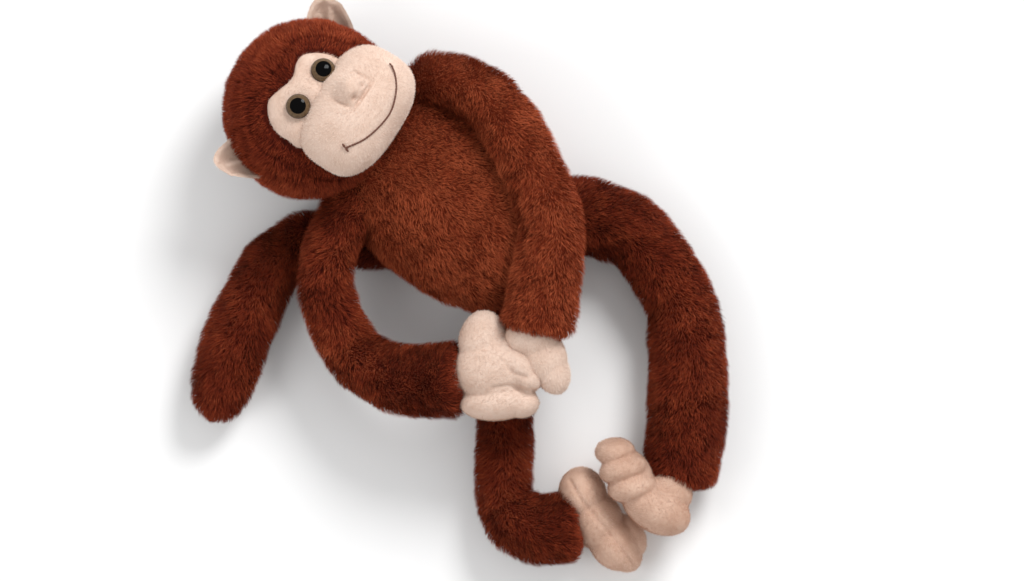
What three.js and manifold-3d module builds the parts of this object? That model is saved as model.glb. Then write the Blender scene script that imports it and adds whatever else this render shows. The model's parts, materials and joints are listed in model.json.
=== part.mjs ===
// Stuffed monkey with long limbs, lying on its back with its hands and its feet together.
// Millimetres, +Z up. The origin is on the surface that it lies on, under the middle of the back.
// Each stuffed part is a plush skin, hollow and open at its seam, round a core of fibre filling.
import * as THREE from 'three';
import { mergeVertices } from 'three/addons/utils/BufferGeometryUtils.js';
import Module from 'manifold-3d';

const wasm = await Module();
wasm.setup();

// ---- driving dimensions ----
const SKIN = 2.5; // plush backing and pile, pressed flat
const SLACK = 2.6; // between a skin and its filling
const GAP = 0.8; // between neighbouring parts
const SEAM_HOLE = 7; // radius of the opening at a limb's root
const SIDES = 10; // facets round a limb's outside
const INNER_SIDES = 8; // and round its inside and its filling
const FACET_ROOM = 3.5; // added round a limb's cutter, so that its few flats stay outside the limb

const BODY_TILT = -32 * Math.PI / 180; // direction from the neck to the rump
const TORSO_HALF_WIDTH = 60;
const TORSO_HALF_HEIGHT = 43;
const TORSO_AXIS_Z = 38; // below the half height, so that the back is flat where it lies

const HEAD_RADIUS = 57;
const HEAD_CENTRE = new THREE.Vector3(-89, 56, 57.6);
const HEAD_TURN = 11.2 * Math.PI / 180; // towards its own left
const NECK_RADIUS = 20;
const NECK_LENGTH = 10;
const NECK_OPENING = 14; // radius of the opening of the chest at the neck
// The torso's outline round its long axis: radius, and distance from the middle towards the rump.
const TORSO_OUTLINE = [[0, -70], [44, -62], [54, -35], [60, 0], [59, 35], [46, 62], [24, 73], [0, 75]];

const MUZZLE_HALF = new THREE.Vector3(43, 29, 29); // across, up and forward
const MUZZLE_CENTRE = new THREE.Vector3(6, -26, 42);
const MASK_LOBE_HALF = new THREE.Vector3(17, 18, 22); // the face patch has a lobe round each eye
const EYE_RADIUS = 7.5;
const EYE_AT = new THREE.Vector3(14, 4.5, 0);
const SHANK_RADIUS = 2;
const SHANK_ROOM = 0.4; // between the shank and what it goes through
const SHANK_END = 48; // distance of the shank's end from the middle of the head
const WASHER_RADIUS = 8;
const WASHER_LOW = 49.3; // its two faces, as distances from the middle of the head
const WASHER_HIGH = 50.8;
const HEAD_CORE_RADIUS = 46;
const HEAD_ROOM = 3; // between the head and the hollow of the chest that it turns in
const MUZZLE_LAP = 2; // the opening of the head's skin behind the muzzle is this much smaller than the muzzle
const PATCH_SEAM = 0.3; // between the head's skin and the face patch
const EAR_HALF = new THREE.Vector3(17, 17, 6);
const EAR_AT = new THREE.Vector3(51, 20, 6);
const THREAD_RADIUS = 0.8;
// The mouth, as shares of the muzzle's half width and half height from its middle.
const MOUTH_ACROSS = [-0.64, 0.7];
const MOUTH_LOWEST = -0.62;
const MOUTH_CURVE = 0.92;

// Centre lines of the limbs: x, y, z and radius, from root to end. Each ends where the next begins.
const RIGHT_UPPER_ARM = [[-72, -18, 53, 16.5], [-79, -37, 54, 17.5], [-80, -60, 50, 18.5], [-69, -87, 42, 19.5]];
const RIGHT_FOREARM = [[-69, -87, 42, 19.5], [-56, -102, 45, 21], [-34, -112, 53, 23], [-2, -112, 66, 24.5]];
const LEFT_UPPER_ARM = [[-14, 75, 54, 18], [9, 67, 64, 18.5], [32, 44, 75, 19.5], [58, -7, 80.5, 20.5]];
const LEFT_FOREARM = [[58, -7, 80.5, 20.5], [58, -38, 80.5, 22.5], [52, -76, 81, 24]];
const RIGHT_THIGH = [[31, -56, 24, 22], [31, -97, 22, 20.5], [31, -144, 21, 19.5], [31, -184, 21, 20]];
const RIGHT_SHIN = [[31, -184, 21, 20], [38, -199, 23.5, 22], [52, -207, 25, 23.5], [70, -206, 25, 23.5]];
const LEFT_THIGH = [[78, -9, 26, 25], [96, -13, 26, 25], [116, -24, 25, 24], [140, -60, 24.5, 23.5]];
const LEFT_SHIN = [[140, -60, 24.5, 23.5], [146, -91, 26, 25], [146, -135, 27, 26], [142, -172, 27, 24.5]];
const TAIL_ROOT = [[10, -24, 17, 16], [-20, -27, 17, 16], [-55, -28, 17, 16], [-92, -22, 18, 17]];
const TAIL_MIDDLE = [[-92, -22, 18, 17], [-108, -34, 20.5, 19.5], [-122, -49, 22.5, 21.5], [-132, -72, 23.5, 22.5]];
const TAIL_TIP = [[-132, -72, 23.5, 22.5], [-140, -92, 23.5, 22.5], [-146, -112, 22.5, 21.5], [-150, -124, 21, 17]];

// Hands and feet: centre, half sizes along the limb, across it and up, and the turn about +Z in degrees.
const RIGHT_HAND = { at: [27, -104, 72], half: [28, 30, 18], turn: 10 };
const LEFT_HAND = { at: [54, -101, 78], half: [22, 18, 19], turn: -75 };
const RIGHT_FOOT = { at: [94, -206, 21], half: [34, 20, 19], turn: -42 };
const LEFT_FOOT = { at: [118, -181, 41], half: [36, 19, 19], turn: -45 };

// Joints that a parent's socket has to clear: the widest bend, in degrees.
const ELBOW_BEND = 45;
const KNEE_BEND = 50;
const TAIL_BEND = 35;
const WRIST_STEPS = [0, 12, 25];
const ABOUT_Z = [0, 0, 1];

// ---- colours ----
const RUSSET = 0x7a2f18;
const FILLING = 0xf2f0ea;
const CREAM = 0xe9d6c8;
const IRIS = 0x69503a;
const WASHER = 0xe8e8e4;
const THREAD = 0x643c2d;

// ---- solids ----
// A closed three.js geometry as a solid, with shared vertices and faces out.
function solidOf(geometry) {
  geometry.deleteAttribute('normal');
  geometry.deleteAttribute('uv');
  const merged = mergeVertices(geometry, 1e-3);
  const index = merged.index.array;
  const position = merged.attributes.position;
  const corner = [0, 1, 2].map(() => new THREE.Vector3());
  const kept = [];
  let volume = 0;
  for (let i = 0; i < index.length; i += 3) {
    const [a, b, c] = [index[i], index[i + 1], index[i + 2]];
    if (a === b || b === c || c === a) continue;
    kept.push([a, b, c]);
    [a, b, c].forEach((vertex, k) => corner[k].fromBufferAttribute(position, vertex));
    volume += corner[0].dot(corner[1].clone().cross(corner[2]));
  }
  const faces = volume > 0 ? kept : kept.map(([a, b, c]) => [a, c, b]);
  const mesh = new wasm.Mesh({
    numProp: 3,
    vertProperties: new Float32Array(position.array),
    triVerts: new Uint32Array(faces.flat()),
  });
  return new wasm.Manifold(mesh);
}

function geometryOf(solid) {
  const mesh = solid.getMesh();
  const geometry = new THREE.BufferGeometry();
  geometry.setAttribute('position', new THREE.BufferAttribute(mesh.vertProperties, 3));
  geometry.setIndex(new THREE.BufferAttribute(mesh.triVerts, 1));
  const flat = geometry.toNonIndexed();
  flat.computeVertexNormals();
  return flat;
}

const cutAll = (solid, cutters) => cutters.reduce((left, cutter) => left.subtract(cutter), solid);

function ball(centre, radius, across = 12, rows = 8) {
  const geometry = new THREE.SphereGeometry(radius, across, rows);
  return solidOf(geometry.translate(...centre));
}

// An egg with half sizes `half`, placed by a matrix.
function egg(half, matrix, across = 12, rows = 6) {
  const geometry = new THREE.SphereGeometry(1, across, rows);
  geometry.scale(...half);
  return solidOf(geometry.applyMatrix4(matrix));
}

function turned(solid, pivot, axis, degrees) {
  const there = new THREE.Matrix4().makeTranslation(...pivot);
  const spin = new THREE.Matrix4().makeRotationAxis(
    new THREE.Vector3(...axis).normalize(), THREE.MathUtils.degToRad(degrees));
  const back = new THREE.Matrix4().makeTranslation(...pivot.map((v) => -v));
  return solid.transform(there.multiply(spin).multiply(back).elements);
}

// A limb: a lathe turned along the limb's length and then bent along its centre line.
// `inset` shrinks it all round, and `endCap` is how far the closed end bulges.
function limb(line, { inset = 0, sides = inset ? INNER_SIDES : SIDES, rows = inset ? 3 : 5, endCap = 0 } = {}) {
  const curve = new THREE.CatmullRomCurve3(line.map(([x, y, z]) => new THREE.Vector3(x, y, z)));
  const length = curve.getLength();
  const alongIndex = (s) => curve.getUtoTmapping(THREE.MathUtils.clamp(s / length, 0, 1));
  const radiusAt = (s) => {
    const place = alongIndex(s) * (line.length - 1);
    const i = Math.min(Math.floor(place), line.length - 2);
    return THREE.MathUtils.lerp(line[i][3], line[i + 1][3], place - i) - inset;
  };
  const profile = [];
  const capRows = inset ? 2 : 3;
  for (let i = 0; i < capRows; i += 1) {
    const angle = (i / capRows) * Math.PI / 2;
    profile.push(new THREE.Vector2(radiusAt(0) * Math.sin(angle), -radiusAt(0) * Math.cos(angle)));
  }
  const last = length - (endCap ? 0 : inset);
  for (let i = 0; i <= rows; i += 1) {
    const s = last * i / rows;
    profile.push(new THREE.Vector2(radiusAt(s), s));
  }
  for (let i = 1; i < capRows && endCap; i += 1) {
    const angle = (i / capRows) * Math.PI / 2;
    profile.push(new THREE.Vector2(radiusAt(last) * Math.cos(angle), last + (endCap - inset) * Math.sin(angle)));
  }
  profile.push(new THREE.Vector2(0, last + (endCap ? endCap - inset : 0)));
  const geometry = new THREE.LatheGeometry(profile, sides);
  const position = geometry.attributes.position;
  const up = new THREE.Vector3(0, 0, 1);
  for (let i = 0; i < position.count; i += 1) {
    const s = position.getY(i);
    const t = alongIndex(s);
    const along = curve.getTangent(t);
    const across = up.clone().cross(along).normalize();
    const rise = along.clone().cross(across);
    const beyond = s - THREE.MathUtils.clamp(s, 0, length);
    const point = curve.getPoint(t)
      .addScaledVector(along, beyond)
      .addScaledVector(across, position.getX(i))
      .addScaledVector(rise, position.getZ(i));
    position.setXYZ(i, point.x, point.y, point.z);
  }
  return solidOf(geometry);
}

// Radius of the socket that lets a child of radius `child` bend by `degrees` in a parent tube.
function socketRadius(child, parent, degrees) {
  const bend = THREE.MathUtils.degToRad(degrees);
  const reach = (parent - child * Math.cos(bend)) / Math.sin(bend);
  return Math.hypot(child, reach) * 1.03 + GAP;
}

function rootHole(line) {
  const start = new THREE.Vector3(...line[0]);
  const next = new THREE.Vector3(...line[1]);
  const away = start.clone().sub(next).setLength(line[0][3]);
  return ball(start.add(away), SEAM_HOLE, 8, 6);
}

function hand(spec, inset = 0) {
  const matrix = new THREE.Matrix4().makeRotationZ(THREE.MathUtils.degToRad(spec.turn));
  matrix.setPosition(...spec.at);
  return egg(spec.half.map((v) => v - inset), matrix);
}

// ---- the scene graph ----
const monkey = new THREE.Group();

function add(name, solid, colour, roughness = 0.95) {
  const material = new THREE.MeshStandardMaterial({ color: colour, roughness, metalness: 0 });
  const mesh = new THREE.Mesh(geometryOf(solid), material);
  mesh.name = name;
  monkey.add(mesh);
}

// A stuffed part. `shape(inset)` is its outer shape, already clear of its neighbours, and `hole` opens the skin.
function addStuffed(name, shape, hole, colour) {
  add(`${name}_skin`, shape(0).subtract(shape(SKIN)).subtract(hole), colour);
  add(`${name}_stuffing`, shape(SKIN + SLACK), FILLING, 1);
}

// ---- limbs ----
const socket = (line, parentRadius, bend) => (inset) =>
  ball(line[0].slice(0, 3), socketRadius(line[0][3], parentRadius, bend) + inset);

const endRadius = (line) => line[line.length - 1][3];

function segment(name, line, options, cutters) {
  const shape = (inset) => cutAll(limb(line, { ...options, inset }), cutters.map((cutter) => cutter(inset)));
  addStuffed(name, shape, rootHole(line), RUSSET);
  return shape;
}

// A limb's or a hand's shape with room round it.
const fat = (line) => (inset) => limb(line, { inset: -inset - GAP - FACET_ROOM, rows: 3 });
const fatHand = (spec) => (inset) => hand(spec, -inset - GAP);

// The upright well that a hand is lifted out of.
const WELL_HEIGHT = 90;
const WELL_ROOM = 1.2;
function well(spec) {
  return (inset) => {
    const room = inset + GAP + WELL_ROOM;
    const geometry = new THREE.CylinderGeometry(1, 1, WELL_HEIGHT, 16);
    geometry.rotateX(Math.PI / 2);
    geometry.scale(spec.half[0] + room, spec.half[1] + room, 1);
    geometry.rotateZ(THREE.MathUtils.degToRad(spec.turn));
    return solidOf(geometry.translate(...spec.at));
  };
}

segment('right_upper_arm', RIGHT_UPPER_ARM, {}, [socket(RIGHT_FOREARM, endRadius(RIGHT_UPPER_ARM), ELBOW_BEND)]);
segment('left_upper_arm', LEFT_UPPER_ARM, {}, [socket(LEFT_FOREARM, endRadius(LEFT_UPPER_ARM), ELBOW_BEND)]);
segment('right_thigh', RIGHT_THIGH, {}, [socket(RIGHT_SHIN, endRadius(RIGHT_THIGH), KNEE_BEND)]);
segment('left_thigh', LEFT_THIGH, {}, [socket(LEFT_SHIN, endRadius(LEFT_THIGH), KNEE_BEND)]);
segment('tail_middle', TAIL_MIDDLE, {}, [socket(TAIL_TIP, endRadius(TAIL_MIDDLE), TAIL_BEND)]);
segment('tail_root', TAIL_ROOT, {}, [socket(TAIL_MIDDLE, endRadius(TAIL_ROOT), TAIL_BEND)]);
segment('tail_tip', TAIL_TIP, { endCap: 14 }, []);

const wristOf = (line) => line[line.length - 1].slice(0, 3);
const swung = (spec, line, axis) => WRIST_STEPS.map((angle) => (inset) =>
  turned(fatHand(spec)(inset), wristOf(line), axis, angle));

segment('right_forearm', RIGHT_FOREARM, {}, swung(RIGHT_HAND, RIGHT_FOREARM, [0, -1, 0]));
segment('left_forearm', LEFT_FOREARM, {}, swung(LEFT_HAND, LEFT_FOREARM, ABOUT_Z));
segment('right_shin', RIGHT_SHIN, {}, swung(RIGHT_FOOT, RIGHT_SHIN, [0, 0, -1]));
segment('left_shin', LEFT_SHIN, {}, swung(LEFT_FOOT, LEFT_SHIN, [0.7, 0.7, 0]));

// ---- hands and feet ----
function addHand(name, spec, cutters) {
  const shape = (inset) => cutAll(hand(spec, inset), cutters.map((cutter) => cutter(inset)));
  const hole = ball([spec.at[0], spec.at[1], spec.at[2] - spec.half[2]], SEAM_HOLE, 8, 6);
  addStuffed(name, shape, hole, CREAM);
}

addHand('right_hand', RIGHT_HAND, []);
addHand('left_hand', LEFT_HAND, [well(RIGHT_HAND)]);
addHand('left_foot', LEFT_FOOT, []);
addHand('right_foot', RIGHT_FOOT, [fatHand(LEFT_FOOT)]);

// ---- head ----
const UP = new THREE.Vector3(-Math.cos(BODY_TILT), -Math.sin(BODY_TILT), 0);
const FORWARD = new THREE.Vector3(0, 0, 1).applyAxisAngle(UP, HEAD_TURN);
const LEFT = UP.clone().cross(FORWARD);
const HEAD_FRAME = new THREE.Matrix4().makeBasis(LEFT, UP, FORWARD).setPosition(HEAD_CENTRE);

function headEgg(half, centre, inset = 0, across = 12, rows = 8) {
  const place = new THREE.Matrix4().makeTranslation(centre.x, centre.y, centre.z);
  return egg([half.x - inset, half.y - inset, half.z - inset], HEAD_FRAME.clone().multiply(place), across, rows);
}

const headBall = (radius) => ball(HEAD_CENTRE.toArray(), radius, 18, 10);
const muzzle = (inset) => headEgg(MUZZLE_HALF, MUZZLE_CENTRE, inset);
const eyePoint = (side, distance) => {
  const [x, y] = [side * EYE_AT.x, EYE_AT.y];
  const scale = distance / HEAD_RADIUS;
  return new THREE.Vector3(x, y, Math.sqrt(HEAD_RADIUS ** 2 - x * x - y * y)).multiplyScalar(scale);
};
const mask = (inset) => [-1, 1]
  .map((side) => headEgg(MASK_LOBE_HALF, eyePoint(side, HEAD_RADIUS), inset))
  .reduce((whole, lobe) => whole.add(lobe));

// A turned piece that stands on the head's surface at an eye, pointing out of it.
function atEye(side, profile) {
  const geometry = new THREE.LatheGeometry(profile.map(([r, y]) => new THREE.Vector2(r, y)), 12);
  const out = eyePoint(side, 1).normalize();
  const turn = new THREE.Quaternion().setFromUnitVectors(new THREE.Vector3(0, 1, 0), out);
  geometry.applyQuaternion(turn);
  return solidOf(geometry.applyMatrix4(HEAD_FRAME));
}

const EYE_PROFILE = [
  [0, SHANK_END], [SHANK_RADIUS, SHANK_END], [SHANK_RADIUS, HEAD_RADIUS + 0.4], [EYE_RADIUS - 0.4, HEAD_RADIUS + 0.4],
  [EYE_RADIUS, HEAD_RADIUS + 1.2], [6.4, HEAD_RADIUS + 3.6], [4, HEAD_RADIUS + 5.2], [0, HEAD_RADIUS + 6],
];
const HOLE_RADIUS = SHANK_RADIUS + SHANK_ROOM;
const HOLE_PROFILE = [[0, SHANK_END - 5], [HOLE_RADIUS, SHANK_END - 5],
  [HOLE_RADIUS, HEAD_RADIUS + 5], [0, HEAD_RADIUS + 5]];
const SINK_PROFILE = [[0, HEAD_RADIUS], [EYE_RADIUS + 0.6, HEAD_RADIUS],
  [EYE_RADIUS + 0.6, HEAD_RADIUS + 9], [0, HEAD_RADIUS + 9]];
const WASHER_PROFILE = [[HOLE_RADIUS, WASHER_LOW], [WASHER_RADIUS, WASHER_LOW],
  [WASHER_RADIUS, WASHER_HIGH], [HOLE_RADIUS, WASHER_HIGH], [HOLE_RADIUS, WASHER_LOW]];

const neckPlace = (distance) => HEAD_CENTRE.clone().addScaledVector(UP, -distance);
function neckPlug(radius, from, to) {
  const geometry = new THREE.CylinderGeometry(radius, radius, to - from, 16);
  const turn = new THREE.Quaternion().setFromUnitVectors(new THREE.Vector3(0, 1, 0), UP);
  geometry.applyQuaternion(turn);
  return solidOf(geometry.translate(...neckPlace((from + to) / 2).toArray()));
}

const bothEyes = (profile) => [-1, 1].map((side) => atEye(side, profile));
const headShell = headBall(HEAD_RADIUS).subtract(headBall(HEAD_RADIUS - SKIN));
add('head_skin', cutAll(headShell, [mask(-PATCH_SEAM), muzzle(MUZZLE_LAP)]), RUSSET);
add('head_stuffing', headBall(HEAD_CORE_RADIUS), FILLING, 1);
add('face_patch', cutAll(headShell.intersect(mask(0)), [muzzle(-0.4), ...bothEyes(HOLE_PROFILE)]), CREAM);
const muzzleShape = (inset) => cutAll(muzzle(inset),
  [headBall(HEAD_RADIUS + 0.4 + Math.min(inset, 0.6)), ...bothEyes(SINK_PROFILE)]);
add('muzzle_skin', muzzleShape(0).subtract(muzzle(SKIN)), CREAM);
add('muzzle_stuffing', muzzleShape(SKIN + SLACK), FILLING, 1);
[['right', -1], ['left', 1]].forEach(([name, side]) => {
  add(`${name}_eye`, atEye(side, EYE_PROFILE), IRIS, 0.12);
  add(`${name}_eye_washer`, atEye(side, WASHER_PROFILE), WASHER, 0.5);
  const place = new THREE.Vector3(side * EAR_AT.x, EAR_AT.y, EAR_AT.z);
  add(`${name}_ear`, cutAll(headEgg(EAR_HALF, place, 0, 14, 8), [headBall(HEAD_RADIUS + 0.4)]), CREAM);
});

// The mouth is a line of embroidery laid along the front of the muzzle.
function mouthCurve() {
  const points = [];
  const steps = 12;
  for (let i = 0; i <= steps; i += 1) {
    const across = THREE.MathUtils.lerp(...MOUTH_ACROSS, i / steps);
    const down = MOUTH_LOWEST + MOUTH_CURVE * across * across;
    const out = Math.sqrt(Math.max(0.02, 1 - across * across - down * down));
    const point = new THREE.Vector3(across, down, out);
    point.multiply(MUZZLE_HALF.clone().addScalar(THREAD_RADIUS + 0.5));
    points.push(point.add(MUZZLE_CENTRE).applyMatrix4(HEAD_FRAME));
  }
  return new THREE.CatmullRomCurve3(points);
}
const thread = new THREE.Shape().absarc(0, 0, THREAD_RADIUS, 0, 2 * Math.PI);
const threadGeometry = new THREE.ExtrudeGeometry(thread,
  { steps: 14, curveSegments: 3, bevelEnabled: false, extrudePath: mouthCurve() });
add('mouth_thread', solidOf(threadGeometry), THREAD, 0.7);

// ---- neck and torso ----
add('neck_stuffing', neckPlug(NECK_RADIUS, HEAD_RADIUS, HEAD_RADIUS + NECK_LENGTH)
  .subtract(headBall(HEAD_RADIUS + HEAD_ROOM)), FILLING, 1);

function torso(inset) {
  const shrink = (v, limit) => v - Math.sign(v) * inset * Math.min(1, Math.abs(v) / limit);
  const points = TORSO_OUTLINE.map(([r, u]) => new THREE.Vector2(shrink(r, 30), shrink(u, 60)));
  const geometry = new THREE.LatheGeometry(points, 16);
  geometry.rotateZ(-Math.PI / 2); // turns the lathe's axis from +Y to +X
  geometry.scale(1, 1, (TORSO_HALF_HEIGHT - inset) / (TORSO_HALF_WIDTH - inset));
  geometry.rotateZ(BODY_TILT);
  return solidOf(geometry.translate(0, 0, TORSO_AXIS_Z));
}

const slab = (inset) => solidOf(new THREE.BoxGeometry(400, 400, 40).translate(0, 0, inset - 20));
const torsoCutters = [
  slab,
  (inset) => headBall(HEAD_RADIUS + HEAD_ROOM + inset),
  (inset) => neckPlug(NECK_RADIUS + GAP + inset, HEAD_RADIUS - 10, HEAD_RADIUS + NECK_LENGTH + GAP + inset),
  (inset) => muzzle(-GAP - inset),
  fat(RIGHT_UPPER_ARM),
  fat(LEFT_UPPER_ARM),
  (inset) => turned(fat(LEFT_UPPER_ARM)(inset), LEFT_UPPER_ARM[0].slice(0, 3), ABOUT_Z, 12),
  fat(LEFT_FOREARM),
  (inset) => turned(fat(LEFT_FOREARM)(inset), LEFT_UPPER_ARM[0].slice(0, 3), ABOUT_Z, 12),
  fat(LEFT_THIGH),
  fat(RIGHT_THIGH),
  (inset) => turned(fat(RIGHT_THIGH)(inset), RIGHT_THIGH[0].slice(0, 3), ABOUT_Z, -10),
  fat(TAIL_ROOT),
];
const torsoShape = (inset) => cutAll(torso(inset), torsoCutters.map((cutter) => cutter(inset)));
const neckOpening = neckPlug(NECK_OPENING, HEAD_RADIUS, HEAD_RADIUS + NECK_LENGTH + 8);
addStuffed('torso', torsoShape, neckOpening, RUSSET);

export default monkey;
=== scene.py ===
import json
import math

import bpy
import numpy as np
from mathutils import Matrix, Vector


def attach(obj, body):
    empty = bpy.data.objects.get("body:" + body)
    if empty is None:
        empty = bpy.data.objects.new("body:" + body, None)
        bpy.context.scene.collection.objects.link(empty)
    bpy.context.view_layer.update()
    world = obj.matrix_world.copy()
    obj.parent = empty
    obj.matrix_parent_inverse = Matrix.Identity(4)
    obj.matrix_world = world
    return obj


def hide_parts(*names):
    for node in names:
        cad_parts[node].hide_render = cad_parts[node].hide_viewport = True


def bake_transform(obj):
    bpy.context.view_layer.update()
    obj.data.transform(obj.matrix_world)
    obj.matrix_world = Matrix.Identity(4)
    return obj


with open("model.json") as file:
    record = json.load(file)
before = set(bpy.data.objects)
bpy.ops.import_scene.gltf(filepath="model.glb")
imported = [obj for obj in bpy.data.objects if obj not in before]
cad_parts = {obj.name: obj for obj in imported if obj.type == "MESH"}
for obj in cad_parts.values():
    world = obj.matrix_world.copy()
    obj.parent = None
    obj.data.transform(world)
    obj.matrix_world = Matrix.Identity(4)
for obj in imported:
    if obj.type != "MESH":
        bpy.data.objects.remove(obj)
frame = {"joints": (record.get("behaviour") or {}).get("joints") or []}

# A stuffed monkey that lies on its back. Long-pile plush is a backing with separate tapered hairs, made as
# mesh; the face, ears, hands and feet are short-pile cream plush. Lengths are in millimetres until a mesh is
# made, and lights and the camera are placed in metres.
MM = 0.001
PILE = 4.5  # how far the hairs stand above the backing, so the backing is that much inside the CAD solid
PLAIN_UP = np.array([0.0, 0.0, 1.0])

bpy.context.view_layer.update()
JOINTS = {joint["name"]: np.array(joint["pos_m"]) / MM for joint in frame["joints"]}


# ---------------------------------------------------------------- camera, light and floor

VIEW_CENTRE = (35.6, -56.6, 50.0)  # the lens points straight down at this
VIEW_WIDTH = 640.0  # across the picture, at that height
LENS = 150.0
SENSOR = 36.0
SKY_STRENGTH = 0.66
LIT_POINT = (0, 0, 0.05)
FLOOR_SIZE = 4.0
FLOOR_DROP = 0.0002  # the floor lies this much below the toy


def make_camera():
    data = bpy.data.cameras.new("camera")
    data.lens = LENS
    data.sensor_width = SENSOR
    data.clip_end = 50.0
    camera = bpy.data.objects.new("camera", data)
    x, y, z = VIEW_CENTRE
    camera.location = (x * MM, y * MM, (z + VIEW_WIDTH * LENS / SENSOR) * MM)
    bpy.context.scene.collection.objects.link(camera)
    bpy.context.scene.camera = camera


def area_light(name, position, target, size, power, mirrored=True):
    data = bpy.data.lights.new(name, "AREA")
    data.shape = "DISK"
    data.size = size
    data.energy = power
    light = bpy.data.objects.new(name, data)
    light.location = position
    light.rotation_euler = (Vector(target) - Vector(position)).to_track_quat("-Z", "Y").to_euler()
    light.visible_glossy = mirrored
    bpy.context.scene.collection.objects.link(light)


def make_light():
    world = bpy.data.worlds.new("studio")
    world.use_nodes = True
    background = world.node_tree.nodes["Background"]
    background.inputs["Color"].default_value = (1.0, 1.0, 1.0, 1.0)
    background.inputs["Strength"].default_value = SKY_STRENGTH
    bpy.context.scene.world = world
    area_light("key", (0.75, 1.25, 1.5), LIT_POINT, size=0.8, power=30)
    area_light("fill", (-1.3, -0.5, 1.7), LIT_POINT, size=1.2, power=9, mirrored=False)
    bpy.context.scene.view_settings.view_transform = "Standard"


def make_floor():
    floor = mesh_object("floor", *grid_plane(FLOOR_SIZE, 8), [floor_material()])
    floor.location.z = -FLOOR_DROP


# ---------------------------------------------------------------- materials

def new_material(name, colour, roughness, **sockets):
    material = bpy.data.materials.new(name)
    material.use_nodes = True
    shader = material.node_tree.nodes["Principled BSDF"]
    shader.inputs["Base Color"].default_value = (*colour, 1.0)
    shader.inputs["Roughness"].default_value = roughness
    for socket, value in sockets.items():
        shader.inputs[socket.replace("_", " ").title().replace("Ior", "IOR")].default_value = value
    return material


def link_noise(material, dark, light, scale, bump=0.0, bump_scale=None, bump_distance=0.0004):
    """Mottles the base colour between two colours, and adds a fine bump."""
    tree = material.node_tree
    shader = tree.nodes["Principled BSDF"]
    spot = tree.nodes.new("ShaderNodeTexCoord")
    noise = tree.nodes.new("ShaderNodeTexNoise")
    noise.inputs["Scale"].default_value = scale
    noise.inputs["Detail"].default_value = 4.0
    ramp = tree.nodes.new("ShaderNodeValToRGB")
    ramp.color_ramp.elements[0].position = 0.3
    ramp.color_ramp.elements[0].color = (*dark, 1.0)
    ramp.color_ramp.elements[1].position = 0.7
    ramp.color_ramp.elements[1].color = (*light, 1.0)
    tree.links.new(spot.outputs["Object"], noise.inputs["Vector"])
    tree.links.new(noise.outputs["Fac"], ramp.inputs["Fac"])
    tree.links.new(ramp.outputs["Color"], shader.inputs["Base Color"])
    if bump:
        fine = tree.nodes.new("ShaderNodeTexNoise")
        fine.inputs["Scale"].default_value = bump_scale
        fine.inputs["Detail"].default_value = 3.0
        relief = tree.nodes.new("ShaderNodeBump")
        relief.inputs["Strength"].default_value = bump
        relief.inputs["Distance"].default_value = bump_distance
        tree.links.new(spot.outputs["Object"], fine.inputs["Vector"])
        tree.links.new(fine.outputs["Fac"], relief.inputs["Height"])
        tree.links.new(relief.outputs["Normal"], shader.inputs["Normal"])
    return material


def floor_material():
    return new_material("floor_white", (0.93, 0.93, 0.93), 0.9)


HAIR_COLOURS = [
    (0.060, 0.0065, 0.0026), (0.100, 0.0115, 0.0042), (0.150, 0.019, 0.0066),
    (0.215, 0.031, 0.0105), (0.300, 0.052, 0.0180), (0.420, 0.090, 0.0340),
]
CREAM_COLOURS = [(0.70, 0.525, 0.430), (0.77, 0.600, 0.500), (0.83, 0.675, 0.580)]
# The feet take a darker copy of the cream: painted shade.
SHADED_CREAM_COLOURS = [(0.60, 0.385, 0.285), (0.68, 0.460, 0.355), (0.76, 0.550, 0.440)]


def pile_shades(name, colours, **sockets):
    return [new_material(f"{name}_{i}", colour, 0.8, specular_ior_level=0.12, **sockets)
            for i, colour in enumerate(colours)]


hair_materials = pile_shades("hair", HAIR_COLOURS, sheen_weight=0.12, sheen_roughness=0.4,
                             sheen_tint=(1.0, 0.42, 0.2, 1.0))
cream_pile = pile_shades("cream_pile", CREAM_COLOURS)
shaded_cream_pile = pile_shades("shaded_cream_pile", SHADED_CREAM_COLOURS)
# The backings are darker than the hairs: painted shade deep in the pile. The lighter backing, painted light,
# goes under the fur that is lifted to lighter shades.
pile_shade_backing_material = link_noise(
    new_material("backing_painted_shade", (0.08, 0.01, 0.004), 0.95, specular_ior_level=0.1),
    (0.035, 0.004, 0.0018), (0.085, 0.010, 0.004), 160.0, bump=0.6, bump_scale=900.0)
lit_pile_backing_material = link_noise(
    new_material("lit_backing_painted_light", (0.16, 0.025, 0.009), 0.95, specular_ior_level=0.1),
    (0.100, 0.013, 0.005), (0.190, 0.030, 0.010), 160.0, bump=0.6, bump_scale=900.0)
cream_material = link_noise(
    new_material("cream_plush", (0.8, 0.6, 0.48), 0.85, specular_ior_level=0.15),
    (0.670, 0.485, 0.385), (0.775, 0.600, 0.500), 70.0, bump=0.55, bump_scale=1100.0)
shaded_cream_material = link_noise(
    new_material("cream_plush_painted_shade", (0.65, 0.44, 0.33), 0.85, specular_ior_level=0.15),
    (0.560, 0.350, 0.255), (0.680, 0.470, 0.360), 70.0, bump=0.55, bump_scale=1100.0)
thread_material = link_noise(
    new_material("mouth_thread", (0.12, 0.04, 0.02), 0.55),
    (0.095, 0.030, 0.016), (0.165, 0.060, 0.034), 2500.0, bump=0.4, bump_scale=6000.0, bump_distance=0.0001)
iris_material = link_noise(
    new_material("iris", (0.1, 0.06, 0.03), 0.12, ior=1.3),
    (0.085, 0.050, 0.026), (0.150, 0.095, 0.050), 900.0)
pupil_material = new_material("pupil", (0.0015, 0.0012, 0.0012), 0.05, ior=1.16)
rim_material = new_material("eye_rim", (0.022, 0.014, 0.009), 0.25)


# ---------------------------------------------------------------- mesh helpers

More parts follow.
